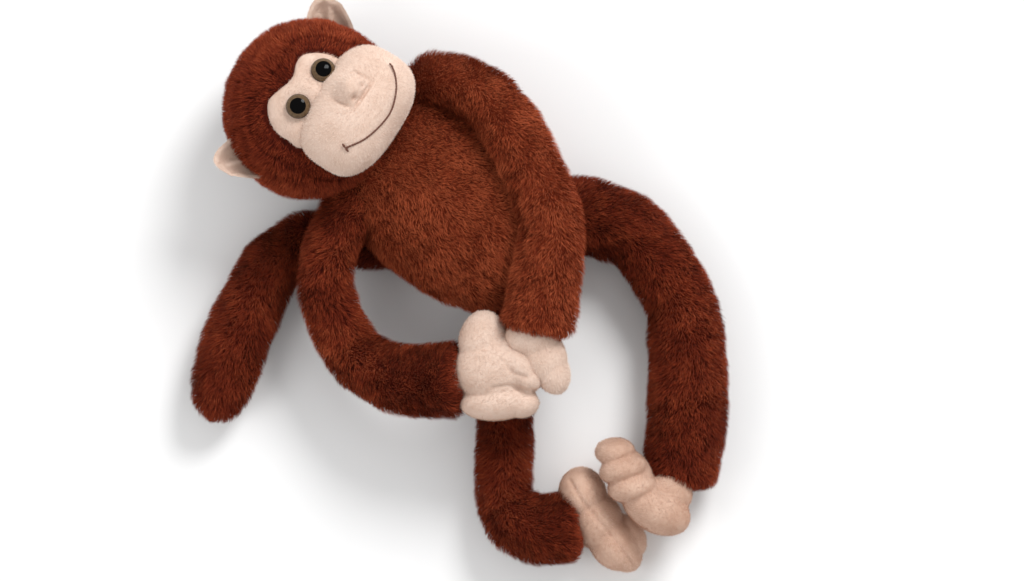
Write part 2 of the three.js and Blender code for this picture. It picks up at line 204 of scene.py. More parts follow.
def mesh_object(name, vertices, faces, materials, slots=None, smooth=True):
    """A mesh from vertices in metres and faces of three or four corners."""
    mesh = bpy.data.meshes.new(name)
    mesh.from_pydata([tuple(v) for v in np.asarray(vertices).tolist()], [], [tuple(f) for f in faces])
    for material in materials:
        mesh.materials.append(material)
    if slots is not None:
        mesh.polygons.foreach_set("material_index", slots)
    mesh.polygons.foreach_set("use_smooth", np.full(len(mesh.polygons), smooth))
    mesh.update()
    piece = bpy.data.objects.new(name, mesh)
    bpy.context.scene.collection.objects.link(piece)
    return piece


def grid_plane(size, cells):
    line = np.linspace(-size / 2, size / 2, cells + 1)
    vertices = [(x, y, 0.0) for y in line for x in line]
    row = cells + 1
    faces = [(j * row + i, j * row + i + 1, (j + 1) * row + i + 1, (j + 1) * row + i)
             for j in range(cells) for i in range(cells)]
    return vertices, faces


def unit(v):
    return v / np.maximum(np.linalg.norm(v, axis=-1, keepdims=True), 1e-9)


class Surface:
    """A closed surface of rings: an array of (rings, sides, 3) points, with a pole at each end."""

    def __init__(self, rings, start, end, flow):
        count, sides, _ = rings.shape
        self.points = np.vstack([rings.reshape(-1, 3), start, end])
        self.flow = np.vstack([flow.reshape(-1, 3), flow[0, 0], flow[-1, 0]])
        first, last = count * sides, count * sides + 1
        faces = []
        for k in range(count - 1):
            for i in range(sides):
                j = (i + 1) % sides
                faces.append((k * sides + i, k * sides + j, (k + 1) * sides + j, (k + 1) * sides + i))
        faces += [(first, (i + 1) % sides, i) for i in range(sides)]
        base = (count - 1) * sides
        faces += [(last, base + i, base + (i + 1) % sides) for i in range(sides)]
        self.faces = faces
        self.face_outward()

    def face_outward(self):
        triangles = self.triangles()
        a, b, c = (self.points[triangles[:, k]] for k in range(3))
        if np.einsum("ij,ij->i", a, np.cross(b, c)).sum() < 0:
            self.faces = [tuple(reversed(face)) for face in self.faces]

    def triangles(self):
        found = []
        for face in self.faces:
            found += [(face[0], face[k], face[k + 1]) for k in range(1, len(face) - 1)]
        return np.array(found)

    def normals(self):
        triangles = self.triangles()
        a, b, c = (self.points[triangles[:, k]] for k in range(3))
        cross = np.cross(b - a, c - a)
        total = np.zeros_like(self.points)
        for k in range(3):
            np.add.at(total, triangles[:, k], cross)
        return unit(total)

    def piece(self, name, materials):
        return mesh_object(name, self.points * MM, self.faces, materials)


class MeshSurface(Surface):
    """The surface of a finished mesh, whose nap runs the same way all over."""

    def __init__(self, mesh, nap):
        self.points = np.array([v.co[:] for v in mesh.vertices]) / MM
        self.faces = [tuple(polygon.vertices) for polygon in mesh.polygons]
        self.flow = np.tile(np.array(nap, dtype=float), (len(self.points), 1))


def waves(points, length, seed, count=7):
    """Smooth noise from about -1 to 1 whose bumps are about `length` across."""
    draw = np.random.default_rng(seed)
    total = np.zeros(len(points))
    for _ in range(count):
        direction = unit(draw.normal(size=3))
        pitch = 2 * math.pi / (length * draw.uniform(1.2, 3.0))
        total += np.sin(points @ direction * pitch + draw.uniform(0, 2 * math.pi))
    return total / math.sqrt(count)


def smooth_line(points, step):
    """A Catmull-Rom line through points of any width, about one point every `step`."""
    points = np.array(points, dtype=float)
    padded = np.vstack([2 * points[0] - points[1], points, 2 * points[-1] - points[-2]])
    found = []
    for i in range(1, len(padded) - 2):
        p0, p1, p2, p3 = padded[i - 1:i + 3]
        pieces = max(2, int(np.linalg.norm(p2[:3] - p1[:3]) / step))
        for t in np.arange(pieces) / pieces:
            found.append(0.5 * (2 * p1 + (p2 - p0) * t + (2 * p0 - 5 * p1 + 4 * p2 - p3) * t ** 2
                                + (3 * p1 - p0 - 3 * p2 + p3) * t ** 3))
    return np.vstack([found, points[-1]])


TUBE_SIDES = 40
TUBE_STEP = 2.5
TUBE_WRINKLE = 0.35
END_BULGE = 0.35  # how far a plain end stands out, as a share of its radius


def tube(line, end_bulge):
    """A stuffed tube along points of x, y, z and radius. Its root is round and its end bulges a little."""
    path = smooth_line(line, TUBE_STEP)
    centre, radius = path[:, :3], path[:, 3] - PILE
    along = unit(np.gradient(centre, axis=0))
    across = unit(np.cross(PLAIN_UP, along))
    rise = np.cross(along, across)
    cap = np.linspace(0, math.pi / 2, 9)[1:]
    centres = [centre[0] - along[0] * radius[0] * math.cos(a) for a in cap[:-1]]
    radii = [radius[0] * math.sin(a) for a in cap[:-1]]
    frames = [0] * (len(cap) - 1)
    centres += list(centre)
    radii += list(radius)
    frames += list(range(len(centre)))
    last = len(centre) - 1
    for a in cap[:-1]:
        centres.append(centre[last] + along[last] * radius[last] * end_bulge * math.sin(a))
        radii.append(radius[last] * math.cos(a))
        frames.append(last)
    angles = np.arange(TUBE_SIDES) * 2 * math.pi / TUBE_SIDES
    rings = np.array([
        c + np.outer(np.cos(angles), across[f]) * r + np.outer(np.sin(angles), rise[f]) * r
        for c, r, f in zip(centres, radii, frames)])
    flow = np.repeat(along[frames][:, None, :], TUBE_SIDES, axis=1)
    surface = Surface(rings, centre[0] - along[0] * radius[0],
                      centre[last] + along[last] * radius[last] * end_bulge, flow)
    surface.points += surface.normals() * (waves(surface.points, 16, 5) * TUBE_WRINKLE)[:, None]
    return surface


# ---------------------------------------------------------------- fur

HAIR_WIDTH = 0.34
HAIR_LENGTH = 6.6
HAIR_DENSITY = 1.75  # hairs to a square millimetre
HAIR_ROOT = 0.5  # how deep a hair is set in its backing
HAIRS_A_PIECE = 62_000
MIDDLE_SHADE = 2.1  # the usual hair colour, counted along HAIR_COLOURS
FLOOR_CLEARANCE = 0.3


def scatter(surface, density, draw, keep=None):
    """Places for hairs: root, outward direction and the direction that the nap runs in."""
    triangles = surface.triangles()
    corners = surface.points[triangles]
    area = np.linalg.norm(np.cross(corners[:, 1] - corners[:, 0], corners[:, 2] - corners[:, 0]), axis=1) / 2
    count = int(area.sum() * density)
    chosen = draw.choice(len(triangles), count, p=area / area.sum())
    weights = draw.dirichlet((1, 1, 1), count)[:, :, None]
    root = (surface.points[triangles[chosen]] * weights).sum(axis=1)
    normal = unit((surface.normals()[triangles[chosen]] * weights).sum(axis=1))
    flow = (surface.flow[triangles[chosen]] * weights).sum(axis=1)
    if keep is not None:
        kept = keep(root)
        root, normal, flow = root[kept], normal[kept], flow[kept]
    return root, normal, unit(flow - normal * np.einsum("ij,ij->i", flow, normal)[:, None])


def fur(name, surface, seed, keep=None, trim=None, painted_light=0.0):
    """Tapered hairs that stand on a surface, in pieces of a limited size. The last argument lifts the hairs
    to lighter shades: painted light where the fur is more brightly lit.
    """
    draw = np.random.default_rng(seed)
    root, normal, flow = scatter(surface, HAIR_DENSITY, draw, keep)
    count = len(root)
    sway = 0.35 * waves(root, 16, 21) + 0.28 * waves(root, 5, 22) + 0.33 * draw.normal(size=count)
    lay = flow * np.cos(sway)[:, None] + np.cross(normal, flow) * np.sin(sway)[:, None]
    stand = (1.5 + 0.35 * waves(root, 9, 23) + 0.3 * draw.normal(size=count))[:, None]
    low = unit(normal * np.maximum(stand, 0.5) + lay * 0.7)
    high = unit(normal * np.maximum(stand * 0.5, 0.2) + lay)
    size = HAIR_LENGTH * (0.84 + 0.09 * waves(root, 8, 24) + 0.26 * draw.random(count))[:, None]
    if trim is not None:
        size *= trim(root)[:, None]
    base = root - normal * HAIR_ROOT
    middle = base + low * size * 0.55
    tip = middle + high * size * 0.45
    spin = draw.uniform(-1.2, 1.2, count)
    side = unit(np.cross(normal, lay) * np.cos(spin)[:, None] + lay * np.sin(spin)[:, None])
    width = HAIR_WIDTH * (0.75 + 0.5 * draw.random(count))[:, None] / 2
    points = np.stack([base - side * width, base + side * width, middle + side * width * 0.85,
                       middle - side * width * 0.85, tip], axis=1)
    points[:, :, 2] = np.maximum(points[:, :, 2], FLOOR_CLEARANCE)
    # The shade is lifted by painted light on brightly lit parts, and varies in soft patches and from hair to
    # hair.
    shade = np.clip(np.round(MIDDLE_SHADE + painted_light + 0.45 * waves(root, 24, 25) + 0.4 * waves(root, 5, 26)
                             + 0.6 * draw.normal(size=count)), 0, 4).astype(int)
    # Each hair's tip takes the next lighter shade: painted light on the tips and painted shade at the roots.
    slots = np.stack([shade, shade + 1], axis=1)
    pieces = []
    share = math.ceil(count / HAIRS_A_PIECE)
    for part in range(share):
        mine = slice(part, None, share)
        own = points[mine].reshape(-1, 3)
        faces = []
        for s in range(0, len(own), 5):
            faces.append((s, s + 1, s + 2, s + 3))
            faces.append((s + 3, s + 2, s + 4))
        label = name if share == 1 else f"{name}_{part + 1}"
        own_slots = slots[mine].reshape(-1)
        pieces.append(mesh_object(label, own * MM, faces, hair_materials, own_slots, smooth=False))
    return pieces


PILE_WIDTH = 0.24
PILE_LENGTH = 1.5
PILE_DENSITY = 2.4  # hairs to a square millimetre
PILE_ROOT = 0.15


def short_pile(name, surface, materials, seed, keep=None):
    """Short pile: fine hairs of one blade each, which lie over a little."""
    draw = np.random.default_rng(seed)
    root, normal, flow = scatter(surface, PILE_DENSITY, draw, keep)
    count = len(root)
    sway = 0.9 * waves(root, 14, 61) + 0.5 * draw.normal(size=count)
    lay = flow * np.cos(sway)[:, None] + np.cross(normal, flow) * np.sin(sway)[:, None]
    lift = (0.75 + 0.25 * draw.normal(size=count))[:, None]
    share = (0.7 + 0.6 * draw.random(count))[:, None]
    tip = root + unit(normal * np.maximum(lift, 0.2) + lay) * PILE_LENGTH * share
    side = np.cross(normal, lay) * PILE_WIDTH / 2
    base = root - normal * PILE_ROOT
    points = np.stack([base - side, base + side, tip], axis=1).reshape(-1, 3)
    points[:, 2] = np.maximum(points[:, 2], FLOOR_CLEARANCE)
    faces = [(s, s + 1, s + 2) for s in range(0, len(points), 3)]
    slots = draw.integers(0, len(materials), count)
    return mesh_object(name, points * MM, faces, materials, slots, smooth=False)


# ---------------------------------------------------------------- torso

BODY_TILT = math.radians(-32)
DOWN = np.array([math.cos(BODY_TILT), math.sin(BODY_TILT), 0.0])  # from the neck to the rump
SIDE = np.array([-math.sin(BODY_TILT), math.cos(BODY_TILT), 0.0])  # towards the monkey's left
TORSO_HALF_WIDTH = 60.0
TORSO_HALF_HEIGHT = 43.0
TORSO_AXIS_Z = 38.0
TORSO_SIDES = 72
TORSO_PROFILE = [(0, -70), (43, -64), (55, -38), (60, -4), (59.5, 32), (51, 56), (30, 70), (0, 75)]


def make_torso():
    profile = smooth_line([(r, u, 0) for r, u in TORSO_PROFILE], 2.5)[1:-1, :2]
    angles = np.arange(TORSO_SIDES) * 2 * math.pi / TORSO_SIDES
    rings = []
    flows = []
    for radius, u in profile:
        shrunk = max(radius - PILE, 0.5)
        height = shrunk * (TORSO_HALF_HEIGHT - PILE) / (TORSO_HALF_WIDTH - PILE)
        pulled = u * (1 - PILE / TORSO_PROFILE[-1][1])
        ring = (DOWN * pulled + np.outer(np.cos(angles), SIDE) * shrunk
                + np.outer(np.sin(angles), PLAIN_UP) * height + PLAIN_UP * TORSO_AXIS_Z)
        rings.append(ring)
        flows.append(np.tile(DOWN, (TORSO_SIDES, 1)))
    rings = np.array(rings)
    rings[:, :, 2] = np.maximum(rings[:, :, 2], FLOOR_CLEARANCE + 1)
    ends = [DOWN * sign * (71 - PILE) + PLAIN_UP * TORSO_AXIS_Z for sign in (-0.93, 1)]
    surface = Surface(rings, *ends, np.array(flows))
    surface.points += surface.normals() * (waves(surface.points, 26, 31) * 0.8)[:, None]
    skin = surface.piece("torso_plush", [lit_pile_backing_material])
    # The torso's hairs are lifted to lighter shades: painted light where the chest is most brightly lit.
    for piece in (skin, *fur("torso_fur", surface, seed=101, painted_light=1.75)):
        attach(piece, "torso")
    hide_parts("torso_skin", "torso_stuffing", "neck_stuffing")


# ---------------------------------------------------------------- arms, legs and tail

def at(joint, radius, lift=0.0):
    x, y, z = JOINTS[joint]
    return (x, y, z + lift, radius)


# Some limbs' hairs are lifted to lighter shades: painted light, strongest on the left arm.
LIMBS = {
    "right_arm": {
        "bodies": ("right_upper_arm", "right_forearm"), "bend": "right_elbow",
        "line": [(-62, 2, 50, 19.5), at("right_shoulder_lift", 19), (-79, -37, 54, 18.5), (-80, -60, 50, 19),
                 at("right_elbow", 20), (-56, -102, 45, 21), (-34, -112, 53, 23), at("right_wrist", 25)],
        "painted_light": 0.15,
    },
    "left_arm": {
        "bodies": ("left_upper_arm", "left_forearm"), "bend": "left_elbow",
        "line": [at("left_shoulder_swing", 19), (10, 69, 64, 20), (34, 46, 75, 20.5), at("left_elbow", 21.5),
                 (58, -38, 80.5, 23), at("left_wrist", 24.5)],
        "painted_light": 1.45,
    },
    "right_leg": {
        "bodies": ("right_thigh", "right_shin"), "bend": "right_knee",
        "line": [at("right_hip_swing", 22), (31, -97, 22, 20.5), (31, -144, 21, 19.5), at("right_knee", 20),
                 (38, -199, 23.5, 22.5), (52, -207, 25, 24), at("right_ankle", 24)],
    },
    "left_leg": {
        "bodies": ("left_thigh", "left_shin"), "bend": "left_knee",
        "line": [at("left_hip_swing", 26), (96, -13, 26, 25.5), (116, -24, 25, 24), at("left_knee", 23.5),
                 (146, -91, 26, 25.5), (146, -135, 27, 26.5), at("left_ankle", 25)],
    },
    "tail_near": {
        "bodies": ("torso", "tail_middle"), "bend": "tail_base",
        "line": [(10, -24, 17, 16), (-20, -27, 17, 16), (-55, -28, 17, 16), at("tail_base", 17.5),
                 (-108, -34, 20.5, 19.5), (-118, -44, 22, 21)],
    },
    "tail_far": {
        "bodies": ("tail_middle", "tail_tip"), "bend": "tail_middle_bend",
        "line": [(-108, -34, 20.5, 19.5), (-118, -44, 22, 21), at("tail_middle_bend", 22.5),
                 (-140, -92, 23.5, 22.5), (-146, -112, 22.5, 21.5), (-150, -124, 21, 18)],
        "end_bulge": 0.85,
    },
}
PAINTED_LIGHT_BACKING_LIMIT = 0.5  # fur lifted more than this by painted light stands on the lighter backing


def make_limb(name, bodies, bend, line, end_bulge=END_BULGE, painted_light=0.0):
    surface = tube(line, end_bulge)
    backing = lit_pile_backing_material if painted_light > PAINTED_LIGHT_BACKING_LIMIT else pile_shade_backing_material
    skin = surface.piece(f"{name}_plush", [backing])
    hair = fur(f"{name}_fur", surface, seed=len(name) * 7 + len(bend), painted_light=painted_light)
    for piece in (skin, *hair):
        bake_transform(piece)
    nodes = [f"{body}_{layer}" for body in bodies for layer in ("skin", "stuffing")]
    if bodies[0] == "torso":
        nodes = ["tail_root_skin", "tail_root_stuffing", "tail_middle_skin", "tail_middle_stuffing"]
    if bodies[0] == "tail_middle":
        nodes = ["tail_tip_skin", "tail_tip_stuffing"]
    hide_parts(*nodes)


# ---------------------------------------------------------------- head

HEAD_RADIUS = 57.0
HEAD_TURN = math.radians(11.2)
HEAD_CENTRE = JOINTS["head_turn"]
UP = -DOWN
FORWARD = PLAIN_UP * math.cos(HEAD_TURN) + SIDE * math.sin(HEAD_TURN)
LEFT = np.cross(UP, FORWARD)
HEAD_AXES = np.stack([LEFT, UP, FORWARD])
MUZZLE_CENTRE = np.array([6.0, -26.0, 42.0])
MUZZLE_HALF = np.array([43.0, 29.0, 29.0])
EYES = {"right": (-14.3, 5.0), "left": (13.8, 4.0)}
EYE_RADIUS = 7.6
PUPIL_RADIUS = 4.7
EYE_SHANK = 8.0
PATCH_SINK = 1.6  # how far the face patch and the eyes are let into the head's fur
# The edge of the face patch: a lobe over each eye, and straight sides that run under the muzzle.
PATCH_MIDDLE = (-3.0, 4.0)
PATCH_EDGE = [(26, -12), (28.5, 1), (26, 12), (19, 21), (11, 22.5), (2, 19.5), (-5, 20), (-12, 22.5),
              (-20.5, 24.5), (-29, 19), (-34.5, 10), (-35.5, 0), (-33, -12), (-3, -20)]
NOSE_AT = (9.5, -16.5)


def from_head(points):
    """Points given across, up and forward from the middle of the head, in the toy's own frame."""
    return np.asarray(points) @ HEAD_AXES + HEAD_CENTRE


def to_head(points):
    return (points - HEAD_CENTRE) @ HEAD_AXES.T


def on_ball(x, y, radius):
    """A point on a ball round the middle of the head, seen at x, y on the outer ball."""
    z = math.sqrt(max(HEAD_RADIUS ** 2 - x * x - y * y, 0.0))
    return np.array([x, y, z]) * radius / HEAD_RADIUS


def round_surface(shape, rings=72, sides=96):
    """A closed surface round the forward axis: shape(direction) gives the point in that direction."""
    angles = np.arange(sides) * 2 * math.pi / sides
    tilts = np.linspace(0, math.pi, rings + 2)[1:-1]
    directions = np.stack([
        np.stack([np.cos(angles) * math.sin(t), np.sin(angles) * math.sin(t),
                  np.full(sides, math.cos(t))], axis=1)
        for t in tilts])
    flat = shape(directions.reshape(-1, 3)).reshape(rings, sides, 3)
    poles = shape(np.array([[0, 0, 1.0], [0, 0, -1.0]]))
    outward = np.stack([np.cos(angles), np.sin(angles), np.zeros(sides)], axis=1)
    flow = np.stack([unit(outward * math.cos(t) - np.array([0, 0, 1.0]) * math.sin(t)) for t in tilts])
    return Surface(flat, poles[:1], poles[1:], flow)


def place(surface):
    """Moves a surface from the head's own axes into the toy's frame."""
    surface.points = from_head(surface.points)
    surface.flow = surface.flow @ HEAD_AXES
    return surface


def patch_reach(angles):
    """How far the edge of the face patch is from its middle, at angles round it."""
    ring = np.array(PATCH_EDGE + PATCH_EDGE[:1], dtype=float)
    line = smooth_line(np.column_stack([ring, np.zeros(len(ring))]), 1.0)[:, :2] - PATCH_MIDDLE
    found = np.arctan2(line[:, 1], line[:, 0])
    order = np.argsort(found)
    return np.interp(angles, found[order], np.linalg.norm(line, axis=1)[order], period=2 * math.pi)


def in_face(points, margin=1.0):
    """True where a point lies under the face patch or the muzzle."""
    x, y, z = to_head(points).T
    dx, dy = x - PATCH_MIDDLE[0], y - PATCH_MIDDLE[1]
    patch = np.hypot(dx, dy) < patch_reach(np.arctan2(dy, dx)) - margin
    muzzle = (((to_head(points) - MUZZLE_CENTRE) / (MUZZLE_HALF - margin - 0.5)) ** 2).sum(axis=1) < 1
    return (z > 0) & (patch | muzzle)


def make_head():
    ball = place(round_surface(lambda d: d * (HEAD_RADIUS - PILE)))
    ball.points += ball.normals() * (waves(ball.points, 30, 41) * 0.6)[:, None]
    skin = ball.piece("head_plush", [pile_shade_backing_material])
    hair = fur("head_fur", ball, keep=lambda p: ~in_face(p), seed=7,
               trim=lambda p: 0.97 - 0.45 * in_face(p, margin=-7.0))
    for piece in (skin, *hair):
        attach(piece, "head")
    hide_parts("head_skin", "head_stuffing")


def make_face_patch():
    """The cream patch with a lobe over each eye, sewn down along its edge and pulled in at the eyes."""
    sides, rings = 144, 30
    angles = np.arange(sides) * 2 * math.pi / sides
    reach = patch_reach(angles)
    rows = []
    for share in np.linspace(0.02, 1, rings):
        x = PATCH_MIDDLE[0] + reach * share * np.cos(angles)
        y = PATCH_MIDDLE[1] + reach * share * np.sin(angles)
        height = HEAD_RADIUS - PATCH_SINK - 2.8 * share ** 9
        for eye_x, eye_y in EYES.values():
            height = height - 2.3 * np.exp(-(np.hypot(x - eye_x, y - eye_y) / 8.5) ** 2)
        height = height + 0.5 * np.exp(-((x + 1.0) / 3.5) ** 2) * np.exp(-((y - 4) / 9.0) ** 2)
        rows.append([on_ball(*spot) for spot in zip(x, y, height)])
    under = [[point * (1 - 3.0 / HEAD_RADIUS) for point in rows[-1]]]
    rows = np.array(rows + under)
    middle = on_ball(*PATCH_MIDDLE, HEAD_RADIUS - PATCH_SINK)
    flow = np.tile(np.array([0.0, -1.0, 0.0]), (*rows.shape[:2], 1))
    surface = Surface(rows, middle, middle * (1 - 4.0 / HEAD_RADIUS), flow)
    surface = place(surface)
    patch = surface.piece("face_patch_plush", [cream_material])

    def clear_of_eyes(points):
        away = [np.hypot(*(to_head(points)[:, :2] - eye).T) for eye in EYES.values()]
        return (np.minimum(*away) > EYE_RADIUS - 0.6) & (to_head(points)[:, 2] > 0)

    pile = short_pile("face_patch_pile", surface, cream_pile, keep=clear_of_eyes, seed=81)
    for piece in (patch, pile):
        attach(piece, "head")
    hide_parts("face_patch")


def muzzle_shape(directions):
    """The muzzle's own surface, with its nose pinched up out of it."""
    points = directions * MUZZLE_HALF
    squareness = 1 - 0.05 * np.cos(4 * np.arctan2(directions[:, 1], directions[:, 0]))
    points[:, :2] *= squareness[:, None]
    points += MUZZLE_CENTRE
    front = directions[:, 2] > 0
    x, y = points[:, 0] - NOSE_AT[0], points[:, 1] - NOSE_AT[1]
    tip = np.exp(-((x / 9.0) ** 2 + (y / 7.4) ** 2) ** 1.9)
    bridge = np.exp(-(x / 6.0) ** 2) / (1 + np.exp(-(y + 1) / 2.0)) * np.exp(-((y - 4) / 13.0) ** 2)
    nostrils = sum(np.exp(-(((x - side * 4.4) / 2.0) ** 2 + ((y + 5.6) / 1.5) ** 2)) for side in (-1, 1))
    creases = sum(np.exp(-((x - side * 10.4) / 1.3) ** 2) * np.exp(-((y + 0.5) / 6.5) ** 2)
                  for side in (-1, 1))
    underline = np.exp(-((y + 9.2) / 1.3) ** 2) * np.exp(-(x / 9.5) ** 2)
    fold = np.exp(-((y - 6.2 + 0.25 * x) / 1.0) ** 2) * np.exp(-(x / 7.0) ** 2)
    raised = 6.5 * tip + 4.2 * bridge
    points[:, 2] += front * (raised - 3.0 * nostrils - 2.4 * creases - 3.0 * underline - 1.5 * fold)
    return points


def muzzle_front(x, y, above=0.0):
    """The point on the front of the muzzle at x, y in the head's axes, a little above the cloth."""
    u, v = (x - MUZZLE_CENTRE[0]) / MUZZLE_HALF[0], (y - MUZZLE_CENTRE[1]) / MUZZLE_HALF[1]
    out = math.sqrt(max(1 - u * u - v * v, 0.0))
    normal = unit(np.array([u / MUZZLE_HALF[0], v / MUZZLE_HALF[1], out / MUZZLE_HALF[2]]))
    return np.array([x, y, MUZZLE_CENTRE[2] + MUZZLE_HALF[2] * out]) + normal * above, normal


def make_muzzle():
    surface = place(round_surface(muzzle_shape, rings=110, sides=140))
    surface.points += surface.normals() * (waves(surface.points, 22, 51) * 0.35)[:, None]
    muzzle = surface.piece("muzzle_plush", [cream_material])
    pile = short_pile("muzzle_pile", surface, cream_pile, seed=82,
                      keep=lambda p: np.linalg.norm(to_head(p), axis=1) > HEAD_RADIUS - 5)
    for piece in (muzzle, pile):
        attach(piece, "head")
    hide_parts("muzzle_skin", "muzzle_stuffing")


def thread_stitches(name, path, normals, stitch, radius, material):
    """A row of satin stitches along a path, each a plump grain laid a little over the next."""
    points, faces = [], []
    count = len(path) - 1
    sides, rows = 8, 6
    for k in range(count):
        a, b = path[k], path[k + 1]
        along = unit(b - a)
        out = unit(normals[k] - along * (normals[k] @ along))
        across = np.cross(along, out)
        length = np.linalg.norm(b - a) * stitch
        first = len(points)
        for row in range(rows + 1):
            t = row / rows
            swell = radius * math.sqrt(max(1 - (2 * t - 1) ** 2, 0.04))
            for i in range(sides):
                angle = 2 * math.pi * i / sides
                points.append(a + along * length * t + across * swell * math.cos(angle) * 1.15
                              + out * (swell * math.sin(angle) * 0.8))
        for row in range(rows):
            for i in range(sides):
                j = (i + 1) % sides
                low, high = first + row * sides, first + (row + 1) * sides
                faces.append((low + i, low + j, high + j, high + i))
        faces.append(tuple(first + i for i in reversed(range(sides))))
        faces.append(tuple(first + rows * sides + i for i in range(sides)))
    return mesh_object(name, from_head(points) * MM, faces, [material])


# The mouth runs from the right cheek down under the nose and up to the left cheek.
MOUTH = [(-22.0, -33.5), (-12.0, -40.0), (0.0, -43.6), (12.0, -44.4), (24.0, -40.5), (32.0, -35.0),
         (36.0, -30.0)]
THREAD_ABOVE = 0.9


def on_muzzle(line):
    found = [muzzle_front(x, y, THREAD_ABOVE) for x, y in line]
    return np.array([point for point, _ in found]), np.array([normal for _, normal in found])


def make_mouth():
    """An embroidered smile with a short tick across each end."""
    line = smooth_line([(x, y, 0) for x, y in MOUTH], 1.5)[:, :2]
    pieces = [thread_stitches("mouth_embroidery", *on_muzzle(line), 1.3, 0.62, thread_material)]
    for label, (x, y), reach in (("right", MOUTH[0], 2.6), ("left", MOUTH[-1], 1.5)):
        ends = [(x - 0.3 * reach, y - reach), (x, y), (x + 0.3 * reach, y + reach)]
        pieces.append(thread_stitches(f"mouth_tick_{label}", *on_muzzle(ends), 1.2, 0.6, thread_material))
    for piece in pieces:
        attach(piece, "head")
    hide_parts("mouth_thread")


def make_eye(side):
    """A polished dome with a brown ring round a black pupil, and its shank."""
    x, y = EYES[side]
    outward = unit(on_ball(x, y, 1.0))
    out = unit(outward + np.array([-0.2, 0.0, 1.6]))
    across = unit(np.cross(np.array([0.0, 1.0, 0.0]), out))
    rise = np.cross(out, across)
    centre = outward * (HEAD_RADIUS - PATCH_SINK)
    profile = [(2.0, -EYE_SHANK), (2.0, -0.6), (EYE_RADIUS - 0.9, -0.6), (EYE_RADIUS, 0.2),
               (EYE_RADIUS - 0.35, 0.9)]
    profile += [(EYE_RADIUS * math.cos(a), 0.4 + 4.6 * math.sin(a)) for a in np.linspace(0.36, 1.45, 14)]
    sides = 48
    points = [centre + out * h + (across * math.cos(a) + rise * math.sin(a)) * r
              for r, h in profile for a in np.arange(sides) * 2 * math.pi / sides]
    points += [centre - out * EYE_SHANK, centre + out * 5.2]
    faces, slots = [], []
    for k in range(len(profile) - 1):
        for i in range(sides):
            j = (i + 1) % sides
            faces.append((k * sides + i, k * sides + j, (k + 1) * sides + j, (k + 1) * sides + i))
            slots.append(2 if k < 4 else int(profile[k + 1][0] < PUPIL_RADIUS + 0.2))
    top = (len(profile) - 1) * sides
    for i in range(sides):
        j = (i + 1) % sides
        faces += [(len(points) - 2, j, i), (len(points) - 1, top + i, top + j)]
        slots += [2, 1]
    materials = [iris_material, pupil_material, rim_material]
    eye = mesh_object(f"{side}_eye_dome", from_head(points) * MM, faces, materials, slots)
    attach(eye, "head")
    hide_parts(f"{side}_eye", f"{side}_eye_washer")


EAR_AT = (49.0, 19.0, 6.0)
EAR_HALF = (15.5, 17.0)
EAR_THICKNESS = 3.4
# Angles round an ear, from straight outward (0) to straight up: its soft point, and the two flatter sides.
EAR_POINT = 0.75
EAR_UPPER_FLAT = 1.75
EAR_LOWER_FLAT = 5.72


def make_ear(side):
    """A cupped leaf, drawn to a soft point, with a rolled edge and a slanting fold."""
    sign = -1 if side == "right" else 1
    sides, rings = 64, 20
    angles = np.arange(sides) * 2 * math.pi / sides
    rows = []
    for front, shares in ((True, np.linspace(0.04, 1, rings)), (False, np.linspace(1, 0.04, rings))):
        for share in shares:
            x, y = np.cos(angles) * share, np.sin(angles) * share
            point = (1 + 0.2 * np.exp(-((angles - EAR_POINT) / 0.42) ** 2)
                     - 0.13 * np.exp(-((angles - EAR_UPPER_FLAT) / 0.45) ** 2)
                     - 0.13 * np.exp(-((angles - EAR_LOWER_FLAT) / 0.5) ** 2))
            cup = -6.0 * (1 - share ** 2) + 1.3 * math.exp(-((share - 0.86) / 0.1) ** 2)
            fold = 4.0 * np.exp(-((y - 0.62 * x + 0.05) / 0.16) ** 2) * (1 - share ** 4)
            z = cup + fold + 5.0 * x ** 2 if front else cup + 5.0 * x ** 2 - EAR_THICKNESS * (1 - share ** 5)
            rows.append(np.column_stack([
                sign * (EAR_AT[0] + x * EAR_HALF[0] * point), EAR_AT[1] + y * EAR_HALF[1] * point,
                EAR_AT[2] + np.broadcast_to(z, x.shape)]))
    rows = np.array(rows)
    flow = np.tile(np.array([sign * 0.8, 0.5, 0.2]), (*rows.shape[:2], 1))
    surface = place(Surface(rows, rows[0].mean(axis=0), rows[-1].mean(axis=0), flow))
    ear = surface.piece(f"{side}_ear_plush", [cream_material])
    pile = short_pile(f"{side}_ear_pile", surface, cream_pile, seed=83)
    for piece in (ear, pile):
        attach(piece, "head")
    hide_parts(f"{side}_ear")


# ---------------------------------------------------------------- hands and feet

GROOVE_DEPTH = 1.3
GROOVE_WIDTH = 1.4
MELT_VOXEL = 1.0
MELT_SMOOTHING = 4


def groove(mesh, line):
    """Presses a seam into the upper side of a mesh, along a line of x, y points."""
    points = np.array([v.co[:] for v in mesh.vertices]) / MM
    normals = np.array([v.normal[:] for v in mesh.vertices])
    path = smooth_line([(x, y, 0) for x, y in line], 0.7)[:, :2]
    away = np.linalg.norm(points[:, None, :2] - path[None, :, :], axis=2).min(axis=1)
    sunk = GROOVE_DEPTH * np.exp(-(away / GROOVE_WIDTH) ** 2) * (normals[:, 2] > 0)
    mesh.vertices.foreach_set("co", ((points - normals * sunk[:, None]) * MM).reshape(-1))
    mesh.update()


